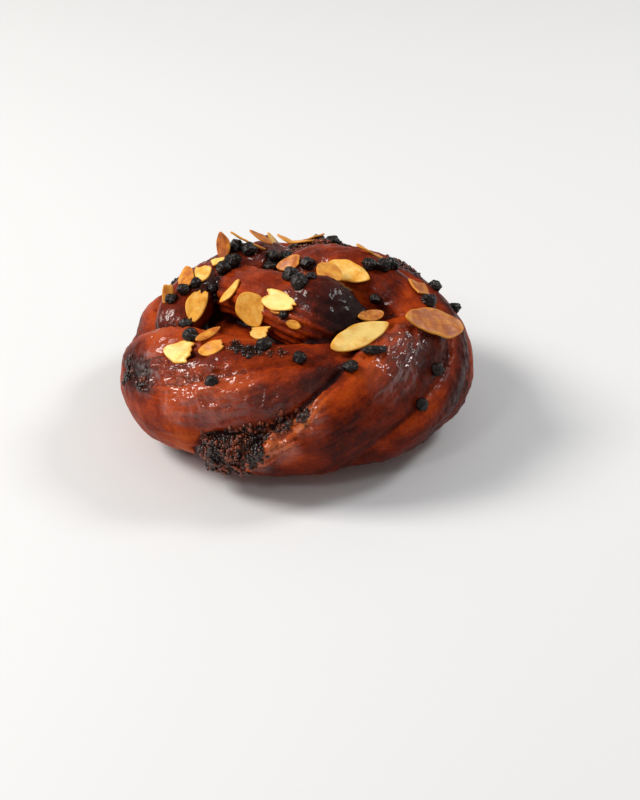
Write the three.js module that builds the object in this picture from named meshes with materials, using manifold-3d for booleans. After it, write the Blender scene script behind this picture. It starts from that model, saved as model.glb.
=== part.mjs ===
import * as THREE from 'three';
import { mergeVertices } from 'three/addons/utils/BufferGeometryUtils.js';
import Module from 'manifold-3d';

// A round bun twisted from a filled dough rope, baked with almond flakes and chocolate drops.
// Millimetres, +Z up, the bun's flat base on z = 0 and its widest box centred over the origin.

const wasm = await Module();
wasm.setup();

// The dome that the coiled rope is laid around: half sizes and the height of its widest level.
const dome = { halfWidth: 58.7, halfDepth: 56, level: 18, rise: 38, fall: 25 };
// The dough inside the coil, which fills the space between the turns.
const crumb = { halfWidth: 43.7, halfDepth: 41, rise: 22, fall: 34 };
// Clear space kept between two pieces that lie against each other.
const gap = 0.3;
// Fineness of the rope: sides of its section, and rings for each stretch between two knots.
const ropeSides = 12;
const ringsPerStretch = 3;
// Almond slices share one thickness, and come to a blunt point.
const flakeThickness = 1.1;
const narrowestTip = 0.35;
const flakeSteps = 6;
// Drops sit with their middle a little over the crust, as a share of their radius.
const dropRadius = 2.6;
const dropLift = 0.2;
const dropSides = 8;
// How many places around a spot tell which way the crust faces.
const patchSpokes = 8;

// The turns of the rope, each from its tail under the bun up to where it tucks in.
// A knot is [bearing, climb, sink, half width, half height, roll]: bearing and climb are degrees
// around and up the dome, sink is how far the rope's middle lies under the dome's surface.
const turns = {
  frontSweep: [[-112, -24, 7, 5, 5, 10], [-102, -16, 7, 8, 7, 22], [-92, -6, 8.5, 11, 9, 30],
    [-81, 4, 9.5, 14, 10, 32], [-70, 13, 10, 16, 10.5, 30], [-58, 21, 10.5, 17, 11, 26],
    [-44, 28, 11, 16, 11, 20], [-26, 33, 11.5, 14, 11, 10], [-4, 38, 12, 11, 11, 0]],
  raisedLip: [[-112, -18, 2.5, 2.2, 2.2, 0], [-107, -12, 2, 3, 2.8, 0], [-100, -2, 2, 3.2, 3, 0],
    [-94, 6, 2, 3.2, 3, 0], [-88, 14, 2, 3.2, 3, 0], [-81, 22, 2.2, 3, 3, 0],
    [-73, 29, 2.8, 3, 3, 0], [-65, 34, 3.6, 3, 3, 0], [-57, 39, 5, 3, 3, 0]],
  cocoaSeam: [[-122, -18, 5, 4, 4, 0], [-116, -13, 3.6, 6.5, 4.6, 0], [-109, -4, 4, 6.5, 4.6, 0],
    [-102, 5, 5.5, 5, 4, 0], [-96, 12, 6.5, 3.4, 3, 0], [-89, 18, 7.5, 2.6, 2.6, 0],
    [-83, 22, 8, 2, 2, 0]],
  frontTrough: [[-150, -18, 10, 6, 6, 10], [-134, -12, 9.5, 9, 8, 20], [-119, -2, 10, 9, 8, 26],
    [-108, 6, 10.5, 9, 8, 28], [-98, 13, 11, 8, 8, 28], [-88, 18, 11.5, 6, 8, 20]],
  lowerLeftSweep: [[-178, -12, 11, 9, 9, 0], [-161, -7, 10.5, 11, 10, 10],
    [-145, 1, 9.5, 12, 10, 20], [-128, 10, 9, 13, 9.5, 30], [-113, 18, 8.5, 13, 9, 34],
    [-99, 25, 8.5, 12.5, 9, 36], [-86, 30, 8.5, 11, 8, 34], [-73, 35, 9, 9, 8, 26],
    [-60, 40, 10, 7, 8, 14]],
  upperLeftSweep: [[178, 2, 12, 6, 7, 0], [-162, 8, 10.5, 7, 7, 8], [-148, 16, 8, 8, 7.5, 24],
    [-134, 26, 7, 8.5, 7.5, 32], [-119, 34, 7, 9, 7, 34], [-104, 39, 7.5, 9, 7, 34],
    [-88, 43, 8.5, 8, 7, 26], [-70, 46, 9.5, 7, 7, 14], [-50, 50, 10.5, 6, 7, 0]],
  leftLobe: [[174, -4, 9.5, 5, 5, 0], [-176, 2, 8.5, 8, 6.5, 6], [-165, 12, 8.8, 11, 7.5, 14],
    [-153, 24, 8.6, 12, 8, 18], [-139, 35, 8.5, 11, 8, 18], [-122, 42, 9.5, 9, 8, 12],
    [-104, 47, 11, 7, 8, 4]],
  crownKnob: [[134, 52, 20, 6, 6, 0], [152, 60, 14, 8, 8, 0], [170, 70, 11, 9, 8, 0],
    [210, 78, 10, 10, 9, 0], [265, 76, 9.5, 11, 11, 0], [292, 68, 8, 13, 13, 0],
    [306, 60, 10.5, 11, 11, 0]],
  rightRidge: [[-40, 26, 12, 7, 8, 0], [-22, 34, 8.5, 9, 9, 0], [-6, 46, 8, 9, 9, 0],
    [10, 58, 8, 9, 9, 0], [34, 68, 8, 9, 9, 0], [70, 75, 9.5, 8, 8, 0], [112, 76, 14, 6, 6, 0]],
  rearRidge: [[84, 56, 16, 6, 6, 0], [108, 62, 10, 8, 8, 0], [134, 64, 9, 9, 9, 0],
    [156, 58, 8.5, 9, 8, 0], [174, 50, 9, 9, 8, 0], [188, 43, 10, 8, 8, 0],
    [194, 36, 13, 6, 6, 0]],
  frontRightTurn: [[-74, -25, 9, 6, 6, 10], [-56, -16, 10, 9, 9, 14], [-38, -6, 10, 11, 9, 16],
    [-18, 6, 10, 11, 9, 18], [2, 20, 9.5, 11, 9, 18], [24, 34, 9, 9, 8, 14],
    [44, 46, 10, 8, 7, 0], [66, 56, 15, 6, 6, 0]],
  rightTurn: [[-34, -25, 8, 6, 6, 10], [-16, -14, 9.3, 9, 9, 20], [6, -2, 9.5, 11, 9, 26],
    [28, 12, 9.5, 11, 9, 26], [52, 26, 8.5, 10, 9, 22], [74, 40, 9, 9, 8, 10],
    [94, 52, 11, 8, 7, 0], [112, 62, 16, 6, 6, 0]],
  rearRightTurn: [[10, -25, 8, 6, 6, 10], [30, -12, 8.5, 9, 9, 20], [54, 0, 8.5, 11, 9, 26],
    [76, 14, 8.5, 11, 9, 26], [98, 28, 8.5, 10, 9, 22], [120, 40, 9, 9, 8, 10],
    [138, 50, 12, 8, 7, 0], [154, 56, 17, 6, 6, 0]],
  rearLeftTurn: [[56, -25, 8, 6, 6, 10], [78, -12, 8.5, 9, 9, 20], [102, 0, 8.5, 11, 9, 26],
    [124, 14, 8.5, 11, 9, 26], [146, 26, 11.5, 9.5, 8.5, 22], [166, 33, 15, 7, 7, 10],
    [182, 40, 19, 5, 5, 0]],
  leftTurn: [[104, -25, 8, 6, 6, 10], [124, -12, 9, 9, 9, 20], [146, 0, 9, 11, 9, 26],
    [166, 10, 13, 10, 9, 22], [184, 18, 14, 8, 7, 14]],
  leftTail: [[148, -25, 10, 6, 6, 10], [166, -18, 11, 9, 8, 14], [184, -12, 13.5, 9, 8, 14]],
};

// Almond flakes: [x, y, heading, pitch, bank, lift, length, width, from, to].
// X, y is the spot seen from above and heading the way the pointed end lies, in degrees from +X.
// Pitch raises that end, bank stands the flake on its long edge, and lift holds its middle off
// the crust. From and to are what is left of a broken one, as shares from its butt to its point.
const flakes = [
  [-34.5, 4.5, 82, 14, 0, 0.9, 10.5, 6, 0, 1],
  [-29, 5, 55, 0, 0, 0.4, 8.5, 5, 0.3, 1],
  [-24.5, 9.5, 20, 8, 0, 0.9, 7, 3.4, 0.35, 1],
  [-31.5, -6, 66, 10, 0, 0.8, 13, 6.2, 0.12, 0.86],
  [-20, -6, 28, 6, 0, 0.6, 9.5, 4, 0, 1],
  [-12.5, -15.5, -56, -26, 16, 1.2, 13.5, 9, 0, 1],
  [-10.5, -23, 66, 30, 0, 7.2, 9.5, 5.6, 0.28, 0.9],
  [-4, -21, -46, 3, 0, 0.8, 16, 7.5, 0.16, 0.94],
  [-5, -21.5, -9, 0, 0, 0.6, 8, 4, 0, 0.7],
  [-36, -29.5, 159, 0, 0, 0.4, 13, 8, 0.2, 1],
  [-25.5, -32.5, 21, 0, 0, 0.4, 9, 5.5, 0, 0.85],
  [-26.5, -27, 43, 5, 20, 1, 10, 3.4, 0, 1],
  [20, -29, 32, 8, 12, 2.3, 21, 7.8, 0, 1],
  [44, -14.5, 195, -3, 0, 0.7, 22.5, 11.5, 0, 1],
  [23.5, -21.5, 225, 0, -20, 1.4, 12, 4.6, 0, 1],
  [10, -6.5, 96, 44, 0, 4, 11, 8.6, 0, 1],
  [17.5, 2.5, -32, 0, 0, 1.6, 15, 8, 0, 1],
  [40, -1.5, 15, 6, 0, 0.7, 14, 6.4, 0.3, 0.72],
  [24, 13, 10, -4, 10, 1, 10, 4.2, 0, 1],
  [-2, 9.5, 170, 0, 0, 0.6, 10, 6, 0.15, 1],
  [-22.5, 13.5, 60, 64, 0, 3.4, 9.5, 5.5, 0, 1],
  [-15.5, 16, 178, 26, 30, 3, 13, 3.4, 0, 1],
  [-11.5, 19, 176, 22, 0, 3.2, 9, 4.6, 0, 1],
  [-8, 37, 170, 38, 0, 3.4, 8.5, 4.2, 0, 1],
  [-2.5, 37, 160, 30, 0, 2.8, 8.5, 3.8, 0, 1],
  [2, 34.5, -32, 0, 0, 1, 9.6, 4.2, 0, 1],
  [5.5, 38.5, 20, 14, 0, 1.6, 9.8, 3.8, 0, 1],
  [0.5, -27.5, -36, 0, 20, 0.7, 5.5, 3, 0, 1],
];

// Chocolate drops: [x, y, size], seen from above, size being a share of the usual radius.
const drops = [
  [-19, 16.5, 1], [-15, 14, 1.05], [-20, 9.5, 1.1], [-23, 7, 1], [-32, 1, 0.8],
  [-39, 20, 0.9], [-35.5, -1.5, 0.8], [-34.5, -11, 1], [-28.5, -6.5, 1.05], [-32, -26.5, 1],
  [-7.5, 15, 1.1], [-8.5, 12, 1], [-3, 18.5, 1], [4.5, 7, 1], [-1, -12, 1.15], [2, -18, 1.15],
  [-2.5, -24.5, 0.8], [-9, -35, 1], [24, 4, 0.9], [28, 4, 1], [31, 6.5, 1.05], [45.5, 15.5, 1],
  [42.5, -6.5, 1], [52.5, 18, 0.9], [26, -4.5, 0.8], [2, -39.5, 0.85], [-24.5, -44, 1],
  [17.5, -42, 0.95], [25, -35.5, 1.05], [44, -27.5, 1], [39, -37, 1.05],
];

const finishes = {
  crust: { color: 0x8a3d14, roughness: 0.3, metalness: 0 },
  almond: { color: 0xe3a84c, roughness: 0.4, metalness: 0 },
  chocolate: { color: 0x2a1d20, roughness: 0.35, metalness: 0 },
};

function makeFinish(kind) {
  return new THREE.MeshStandardMaterial(finishes[kind]);
}

function toSolid(geometry) {
  const bare = geometry.clone();
  bare.deleteAttribute('normal');
  bare.deleteAttribute('uv');
  const merged = mergeVertices(bare, 1e-4);
  return new wasm.Manifold(new wasm.Mesh({
    numProp: 3,
    vertProperties: Float32Array.from(merged.attributes.position.array),
    triVerts: Uint32Array.from(merged.index.array),
  }));
}

function toGeometry(solid) {
  const mesh = solid.getMesh();
  const geometry = new THREE.BufferGeometry();
  geometry.setAttribute('position', new THREE.BufferAttribute(mesh.vertProperties, 3));
  geometry.setIndex(new THREE.BufferAttribute(mesh.triVerts, 1));
  geometry.computeVertexNormals();
  return geometry;
}

function largestBody(solid) {
  const bodies = solid.decompose();
  return bodies.reduce((best, body) => (body.volume() > best.volume() ? body : best));
}

// A point on the dome and the way straight out of it.
function domePoint(bearing, climb) {
  const around = THREE.MathUtils.degToRad(bearing);
  const up = THREE.MathUtils.degToRad(climb);
  const height = climb >= 0 ? dome.rise : dome.fall;
  const point = new THREE.Vector3(
    dome.halfWidth * Math.cos(up) * Math.cos(around),
    dome.halfDepth * Math.cos(up) * Math.sin(around),
    dome.level + height * Math.sin(up),
  );
  const out = new THREE.Vector3(
    point.x / dome.halfWidth ** 2,
    point.y / dome.halfDepth ** 2,
    (point.z - dome.level) / height ** 2,
  ).normalize();
  return { point, out };
}

// One ring of a turn, as the frame and the half sizes of its oval section.
function sectionAt(track, share) {
  const along = track.middle.getTangent(share);
  const out = track.out.getPoint(share);
  out.addScaledVector(along, -out.dot(along)).normalize();
  const across = new THREE.Vector3().crossVectors(along, out);
  const size = track.size.getPoint(share);
  const roll = THREE.MathUtils.degToRad(size.z);
  return {
    centre: track.middle.getPoint(share),
    along,
    across: across.clone().multiplyScalar(Math.cos(roll)).addScaledVector(out, -Math.sin(roll)),
    out: out.clone().multiplyScalar(Math.cos(roll)).addScaledVector(across, Math.sin(roll)),
    halfWidth: size.x,
    halfHeight: size.y,
  };
}

// The smooth lines that carry a turn's middle, its outward side and its section through the knots.
function makeTrack(knots) {
  const middles = [];
  const outs = [];
  const sizes = [];
  for (const [bearing, climb, sink, halfWidth, halfHeight, roll] of knots) {
    const { point, out } = domePoint(bearing, climb);
    middles.push(point.addScaledVector(out, -sink));
    outs.push(out);
    sizes.push(new THREE.Vector3(halfWidth, halfHeight, roll));
  }
  const smooth = (points) => new THREE.CatmullRomCurve3(points, false, 'catmullrom');
  return { middle: smooth(middles), out: smooth(outs), size: smooth(sizes) };
}

// Every ring of a turn, with two shrinking rings that round off each end.
function turnRings(knots, growth) {
  const track = makeTrack(knots);
  const steps = (knots.length - 1) * ringsPerStretch;
  const rings = [];
  for (let step = 0; step <= steps; step += 1) {
    const section = sectionAt(track, step / steps);
    section.halfWidth += growth;
    section.halfHeight += growth;
    rings.push({ ...section, scale: 1 });
  }
  const capAngles = [Math.PI / 6, Math.PI / 3];
  const first = rings[0];
  const last = rings[rings.length - 1];
  for (const angle of capAngles) {
    rings.unshift(capRing(first, angle, -1));
    rings.push(capRing(last, angle, 1));
  }
  return { rings, start: capTip(first, -1), finish: capTip(last, 1) };
}

function capReach(ring) {
  return Math.min(ring.halfWidth, ring.halfHeight) * 0.9;
}

function capRing(ring, angle, side) {
  const shift = side * Math.sin(angle) * capReach(ring);
  return {
    ...ring,
    centre: ring.centre.clone().addScaledVector(ring.along, shift),
    scale: Math.cos(angle),
  };
}

function capTip(ring, side) {
  return ring.centre.clone().addScaledVector(ring.along, side * capReach(ring));
}

// A turn of the rope as a closed body.
function turnGeometry(knots, growth = 0) {
  const { rings, start, finish } = turnRings(knots, growth);
  const positions = [];
  for (const ring of rings) {
    for (let side = 0; side < ropeSides; side += 1) {
      const angle = (side / ropeSides) * 2 * Math.PI;
      const point = ring.centre.clone()
        .addScaledVector(ring.across, ring.scale * ring.halfWidth * Math.cos(angle))
        .addScaledVector(ring.out, ring.scale * ring.halfHeight * Math.sin(angle));
      positions.push(...point.toArray());
    }
  }
  positions.push(...start.toArray(), ...finish.toArray());
  const startTip = rings.length * ropeSides;
  const finishTip = startTip + 1;
  const lastRing = (rings.length - 1) * ropeSides;
  const faces = [];
  for (let side = 0; side < ropeSides; side += 1) {
    const next = (side + 1) % ropeSides;
    for (let ring = 0; ring < rings.length - 1; ring += 1) {
      const near = ring * ropeSides;
      const far = near + ropeSides;
      faces.push(near + side, far + side, near + next);
      faces.push(near + next, far + side, far + next);
    }
    faces.push(startTip, side, next);
    faces.push(finishTip, lastRing + next, lastRing + side);
  }
  const geometry = new THREE.BufferGeometry();
  geometry.setAttribute('position', new THREE.Float32BufferAttribute(positions, 3));
  geometry.setIndex(faces);
  return geometry;
}

// The dough under the turns: a ball stretched to the dome, deeper below so the base comes out wide.
function crumbGeometry(growth = 0) {
  const geometry = new THREE.SphereGeometry(1, 28, 18);
  geometry.rotateX(Math.PI / 2);
  const place = geometry.attributes.position;
  for (let i = 0; i < place.count; i += 1) {
    const height = place.getZ(i) >= 0 ? crumb.rise : crumb.fall;
    place.setXYZ(
      i,
      place.getX(i) * (crumb.halfWidth + growth),
      place.getY(i) * (crumb.halfDepth + growth),
      dome.level + place.getZ(i) * (height + growth),
    );
  }
  return geometry;
}

// All that lies under the tray's level, which cuts the flat base.
function trayGeometry() {
  const span = 3 * dome.halfWidth;
  const geometry = new THREE.BoxGeometry(span, span, span);
  geometry.translate(0, 0, -span / 2);
  return geometry;
}

// The whole bun. The turns bake together, so any pocket closed in between them is dough too.
function bunSolid(growth = 0) {
  let solid = toSolid(crumbGeometry(growth));
  for (const knots of Object.values(turns)) {
    solid = solid.add(toSolid(turnGeometry(knots, growth)));
  }
  return largestBody(solid.subtract(toSolid(trayGeometry())));
}

// Finds the crust straight under a spot, and which way it faces there, averaged over a patch as
// wide as what will rest on it.
function makeSurface(crust) {
  const probe = new THREE.Raycaster();
  const down = new THREE.Vector3(0, 0, -1);
  const over = 2 * (dome.level + dome.rise);
  const hitUnder = (x, y) => {
    probe.set(new THREE.Vector3(x, y, over), down);
    return probe.intersectObject(crust, false)[0];
  };
  return (x, y, reach) => {
    const normal = new THREE.Vector3();
    for (let spoke = 0; spoke < patchSpokes; spoke += 1) {
      const angle = (spoke / patchSpokes) * 2 * Math.PI;
      normal.add(hitUnder(x + reach * Math.cos(angle), y + reach * Math.sin(angle)).face.normal);
    }
    return { point: hitUnder(x, y).point, normal: normal.normalize() };
  };
}

// Stands a piece on a spot: its own z points out of the crust and its x along the heading.
function layOn(geometry, spot, heading, lift) {
  const angle = THREE.MathUtils.degToRad(heading);
  const ahead = new THREE.Vector3(Math.cos(angle), Math.sin(angle), 0);
  ahead.addScaledVector(spot.normal, -ahead.dot(spot.normal)).normalize();
  const aside = new THREE.Vector3().crossVectors(spot.normal, ahead);
  const place = new THREE.Matrix4().makeBasis(ahead, aside, spot.normal);
  place.setPosition(spot.point.clone().addScaledVector(spot.normal, lift));
  return geometry.applyMatrix4(place);
}

// Half the width of an almond slice at a share of the way from its butt to its point.
function almondHalfWidth(share, width) {
  return (width / 2) * Math.max(Math.sin(Math.PI * share ** 0.85), 0) ** 0.62;
}

function flakeGeometry(flake, growth) {
  const [, , , pitch, bank, , length, width, from, to] = flake;
  const edge = [];
  for (let step = 0; step <= flakeSteps; step += 1) {
    const share = from + ((to - from) * step) / flakeSteps;
    const half = Math.max(almondHalfWidth(share, width), narrowestTip) + growth;
    const ahead = (share - (from + to) / 2) * length;
    edge.push(new THREE.Vector2(ahead, half));
  }
  edge[0].x -= growth;
  edge[flakeSteps].x += growth;
  const mirrored = edge.map((point) => new THREE.Vector2(point.x, -point.y)).reverse();
  const outline = new THREE.Shape([...edge, ...mirrored]);
  const thickness = flakeThickness + 2 * growth;
  const geometry = new THREE.ExtrudeGeometry(outline, { depth: thickness, bevelEnabled: false });
  geometry.translate(0, 0, -thickness / 2);
  geometry.rotateX(THREE.MathUtils.degToRad(bank));
  geometry.rotateY(-THREE.MathUtils.degToRad(pitch));
  return geometry;
}

// A baked drop: broad foot, round shoulder and a low blunt top, as shares of its radius.
function dropGeometry(size, growth) {
  const radius = size * dropRadius + growth;
  const profile = [[0, -0.55], [0.72, -0.5], [1, -0.05], [0.84, 0.45], [0.42, 0.78], [0, 0.88]];
  const points = profile.map(([out, up]) => new THREE.Vector2(out * radius, up * radius));
  const geometry = new THREE.LatheGeometry(points, dropSides);
  geometry.rotateX(Math.PI / 2);
  return geometry;
}

function layFlake(surface, flake, growth) {
  const [x, y, heading, , , lift, length] = flake;
  const spot = surface(x, y, length / 4);
  return toSolid(layOn(flakeGeometry(flake, growth), spot, heading, lift));
}

function layDrop(surface, [x, y, size], growth) {
  const spot = surface(x, y, dropRadius / 2);
  return toSolid(layOn(dropGeometry(size, growth), spot, 0, dropLift * size * dropRadius));
}

function makePiece(name, solid, kind) {
  const mesh = new THREE.Mesh(toGeometry(solid), makeFinish(kind));
  mesh.name = name;
  return mesh;
}

function nodeName(stem, index) {
  return `${stem}_${String(index + 1).padStart(2, '0')}`;
}

// Lays the toppings one after another, each cut back from the bun and from those before it.
function makeToppings(crust) {
  const surface = makeSurface(crust);
  let taken = bunSolid(gap);
  const pieces = [];
  const lay = (name, kind, shape) => {
    pieces.push(makePiece(name, largestBody(shape(0).subtract(taken)), kind));
    taken = taken.add(shape(gap));
  };
  flakes.forEach((flake, index) => {
    lay(nodeName('almond_flake', index), 'almond', (growth) => layFlake(surface, flake, growth));
  });
  drops.forEach((drop, index) => {
    lay(nodeName('chocolate_drop', index), 'chocolate', (growth) => layDrop(surface, drop, growth));
  });
  return pieces;
}

function makeBun() {
  return makePiece('bun', bunSolid(), 'crust');
}

const bread = new THREE.Group();
const bun = makeBun();
bread.add(bun, ...makeToppings(bun));
const middleOfBase = new THREE.Box3().setFromObject(bun).getCenter(new THREE.Vector3());
bread.position.set(-middleOfBase.x, -middleOfBase.y, 0);

export default bread;
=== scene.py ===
import math

import bpy
import bmesh
import numpy as np
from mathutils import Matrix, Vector, noise
from mathutils.bvhtree import BVHTree
from mathutils.kdtree import KDTree


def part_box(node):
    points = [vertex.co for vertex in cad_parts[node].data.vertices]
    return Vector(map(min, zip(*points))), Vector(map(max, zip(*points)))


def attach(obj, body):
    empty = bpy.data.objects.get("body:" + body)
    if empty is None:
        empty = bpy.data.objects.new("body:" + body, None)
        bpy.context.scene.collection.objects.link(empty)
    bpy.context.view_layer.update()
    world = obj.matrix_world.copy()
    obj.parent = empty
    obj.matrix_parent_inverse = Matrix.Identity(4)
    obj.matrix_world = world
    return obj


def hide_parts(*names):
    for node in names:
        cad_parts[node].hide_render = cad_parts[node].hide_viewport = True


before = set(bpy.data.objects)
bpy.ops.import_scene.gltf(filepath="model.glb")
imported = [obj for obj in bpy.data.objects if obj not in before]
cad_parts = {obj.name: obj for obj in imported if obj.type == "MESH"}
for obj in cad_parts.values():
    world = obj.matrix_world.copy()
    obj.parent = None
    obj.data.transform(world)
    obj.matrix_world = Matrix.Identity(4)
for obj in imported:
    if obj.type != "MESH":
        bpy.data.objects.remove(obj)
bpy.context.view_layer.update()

mm = 0.001

# the dome that the rope is coiled around, in millimetres
doughDome = {"halfWidth": 58.7, "halfDepth": 56.0, "level": 18.0, "rise": 38.0, "fall": 25.0}

# the crumb inside the coil
doughCrumb = {"halfWidth": 43.7, "halfDepth": 41.0, "rise": 21.0, "fall": 34.0}

doughLook = {
    "ringsPerTurn": 64,
    "sidesPerRing": 32,
    "samplesPerRing": 20,
    "grainOfMesh": 0.74,       # size of the remeshed squares
    "soften": 4,               # how often the joins between turns are relaxed
    "sagHeight": 14,           # below this the dough sags towards the tray
    "sag": 1.3,
    "footHeight": 9,           # below this the foot is smoothed
    "footFade": 5,             # millimetres over which the smoothing fades in
    "footSoftness": 30,
    "footLift": 1,             # how far the smoothing may raise a place
    "footBrown": 0.35,         # how much the tray browns the foot
    "footBrownHeight": 6,
    "swell": 0.35,             # slow unevenness of proved dough
    "swellSize": 11,
    "wrinkle": 0.85,           # skin creases along the rope
    "wrinkleGrain": (0.13, 0.42, 1.0),
    "blister": 0.65,           # small blisters of the dark crust
    "blisterSize": 2.4,
    "fold": 0.65,              # broad folds of the glazed skin
    "foldGrain": (0.1, 0.26, 1.0),
    "crackDepth": 1.1,         # how far the lines between turns sink
    "fullCrack": 0.16,         # hollows this deep count as a whole crack
    "fullSeam": 0.9,           # and this deep as a whole seam, over a wider stretch
    "lipHeight": 0.8,          # how far the front lip stands up
    "lipRoughness": 0.5,
    "layerDepth": 0.3,         # grooves between the rolled layers
    "layerRate": 2.1,          # radians of the layers' wave in each millimetre
    "layerWaver": 2.2,
    "waverGrain": (0.06, 0.25, 1.0),
    "crustDepth": 0.75,        # lumps of the baked cocoa filling
    "lumpSize": 2.3,
    "raggedSize": 3.2,         # unevenness of the filling's edge
    "mottleSize": 14,
}

# knots of every turn: bearing, climb, sink, half width, half height, roll
ropeTurns = {
    "frontSweep": [(-112, -24, 7, 5, 5, 10), (-102, -16, 7, 8, 7, 22), (-92, -6, 8.5, 11, 9, 30),
                   (-81, 4, 9.5, 14, 10, 32), (-70, 13, 10, 16, 10.5, 30), (-58, 21, 10.5, 17, 11, 26),
                   (-44, 28, 11, 16, 11, 20), (-26, 33, 11.5, 14, 11, 10), (-4, 38, 12, 11, 11, 0)],
    "raisedLip": [(-112, -18, 2.5, 2.2, 2.2, 0), (-107, -12, 2, 3, 2.8, 0), (-100, -2, 2, 3.2, 3, 0),
                  (-94, 6, 2, 3.2, 3, 0), (-88, 14, 2, 3.2, 3, 0), (-81, 22, 2.2, 3, 3, 0),
                  (-73, 29, 2.8, 3, 3, 0), (-65, 34, 3.6, 3, 3, 0), (-57, 39, 5, 3, 3, 0)],
    "cocoaSeam": [(-122, -18, 5, 4, 4, 0), (-116, -13, 3.6, 6.5, 4.6, 0), (-109, -4, 4, 6.5, 4.6, 0),
                  (-102, 5, 5.5, 5, 4, 0), (-96, 12, 6.5, 3.4, 3, 0), (-89, 18, 7.5, 2.6, 2.6, 0),
                  (-83, 22, 8, 2, 2, 0)],
    "frontTrough": [(-150, -18, 10, 6, 6, 10), (-134, -12, 9.5, 9, 8, 20), (-119, -2, 10, 9, 8, 26),
                    (-108, 6, 10.5, 9, 8, 28), (-98, 13, 11, 8, 8, 28), (-88, 18, 11.5, 6, 8, 20)],
    "lowerLeftSweep": [(-178, -12, 11, 9, 9, 0), (-161, -7, 10.5, 11, 10, 10), (-145, 1, 9.5, 12, 10, 20),
                       (-128, 10, 9, 13, 9.5, 30), (-113, 18, 8.5, 13, 9, 34), (-99, 25, 8.5, 12.5, 9, 36),
                       (-86, 30, 8.5, 11, 8, 34), (-73, 35, 9, 9, 8, 26), (-60, 40, 10, 7, 8, 14)],
    "upperLeftSweep": [(178, 2, 12, 6, 7, 0), (-162, 8, 10.5, 7, 7, 8), (-148, 16, 8, 8, 7.5, 24),
                       (-134, 26, 7, 8.5, 7.5, 32), (-119, 34, 7, 9, 7, 34), (-104, 39, 7.5, 9, 7, 34),
                       (-88, 43, 8.5, 8, 7, 26), (-70, 46, 9.5, 7, 7, 14), (-50, 50, 10.5, 6, 7, 0)],
    "leftLobe": [(174, -4, 9.5, 5, 5, 0), (-176, 2, 8.5, 8, 6.5, 6), (-165, 12, 8.8, 11, 7.5, 14),
                 (-153, 24, 8.6, 12, 8, 18), (-139, 35, 8.5, 11, 8, 18), (-122, 42, 9.5, 9, 8, 12),
                 (-104, 47, 11, 7, 8, 4)],
    "crownKnob": [(134, 52, 20, 6, 6, 0), (152, 60, 14, 8, 8, 0), (170, 70, 11, 9, 8, 0),
                  (210, 78, 10, 10, 9, 0), (265, 76, 9.5, 11, 11, 0), (292, 68, 8, 13, 13, 0),
                  (306, 60, 10.5, 11, 11, 0)],
    "rightRidge": [(-40, 26, 12, 7, 8, 0), (-22, 34, 8.5, 9, 9, 0), (-6, 46, 8, 9, 9, 0),
                   (10, 58, 8, 9, 9, 0), (34, 68, 8, 9, 9, 0), (70, 75, 9.5, 8, 8, 0),
                   (112, 76, 14, 6, 6, 0)],
    "rearRidge": [(84, 56, 16, 6, 6, 0), (108, 62, 10, 8, 8, 0), (134, 64, 9, 9, 9, 0),
                  (156, 58, 8.5, 9, 8, 0), (174, 50, 9, 9, 8, 0), (188, 43, 10, 8, 8, 0),
                  (194, 36, 13, 6, 6, 0)],
    "frontRightTurn": [(-74, -25, 9, 6, 6, 10), (-56, -16, 10, 9, 9, 14), (-38, -6, 10, 11, 9, 16),
                       (-18, 6, 10, 11, 9, 18), (2, 20, 9.5, 11, 9, 18), (24, 34, 9, 9, 8, 14),
                       (44, 46, 10, 8, 7, 0), (66, 56, 15, 6, 6, 0)],
    "rightTurn": [(-34, -25, 8, 6, 6, 10), (-16, -14, 9.3, 9, 9, 20), (6, -2, 9.5, 11, 9, 26),
                  (28, 12, 9.5, 11, 9, 26), (52, 26, 8.5, 10, 9, 22), (74, 40, 9, 9, 8, 10),
                  (94, 52, 11, 8, 7, 0), (112, 62, 16, 6, 6, 0)],
    "rearRightTurn": [(10, -25, 8, 6, 6, 10), (30, -12, 8.5, 9, 9, 20), (54, 0, 8.5, 11, 9, 26),
                      (76, 14, 8.5, 11, 9, 26), (98, 28, 8.5, 10, 9, 22), (120, 40, 9, 9, 8, 10),
                      (138, 50, 12, 8, 7, 0), (154, 56, 17, 6, 6, 0)],
    "rearLeftTurn": [(56, -25, 8, 6, 6, 10), (78, -12, 8.5, 9, 9, 20), (102, 0, 8.5, 11, 9, 26),
                     (124, 14, 8.5, 11, 9, 26), (146, 26, 11.5, 9.5, 8.5, 22), (166, 33, 15, 7, 7, 10),
                     (182, 40, 19, 5, 5, 0)],
    "leftTurn": [(104, -25, 8, 6, 6, 10), (124, -12, 9, 9, 9, 20), (146, 0, 9, 11, 9, 26),
                 (166, 10, 13, 10, 9, 22), (184, 18, 14, 8, 7, 14)],
    "leftTail": [(148, -25, 10, 6, 6, 10), (166, -18, 11, 9, 8, 14), (184, -12, 13.5, 9, 8, 14)],
}

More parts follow.
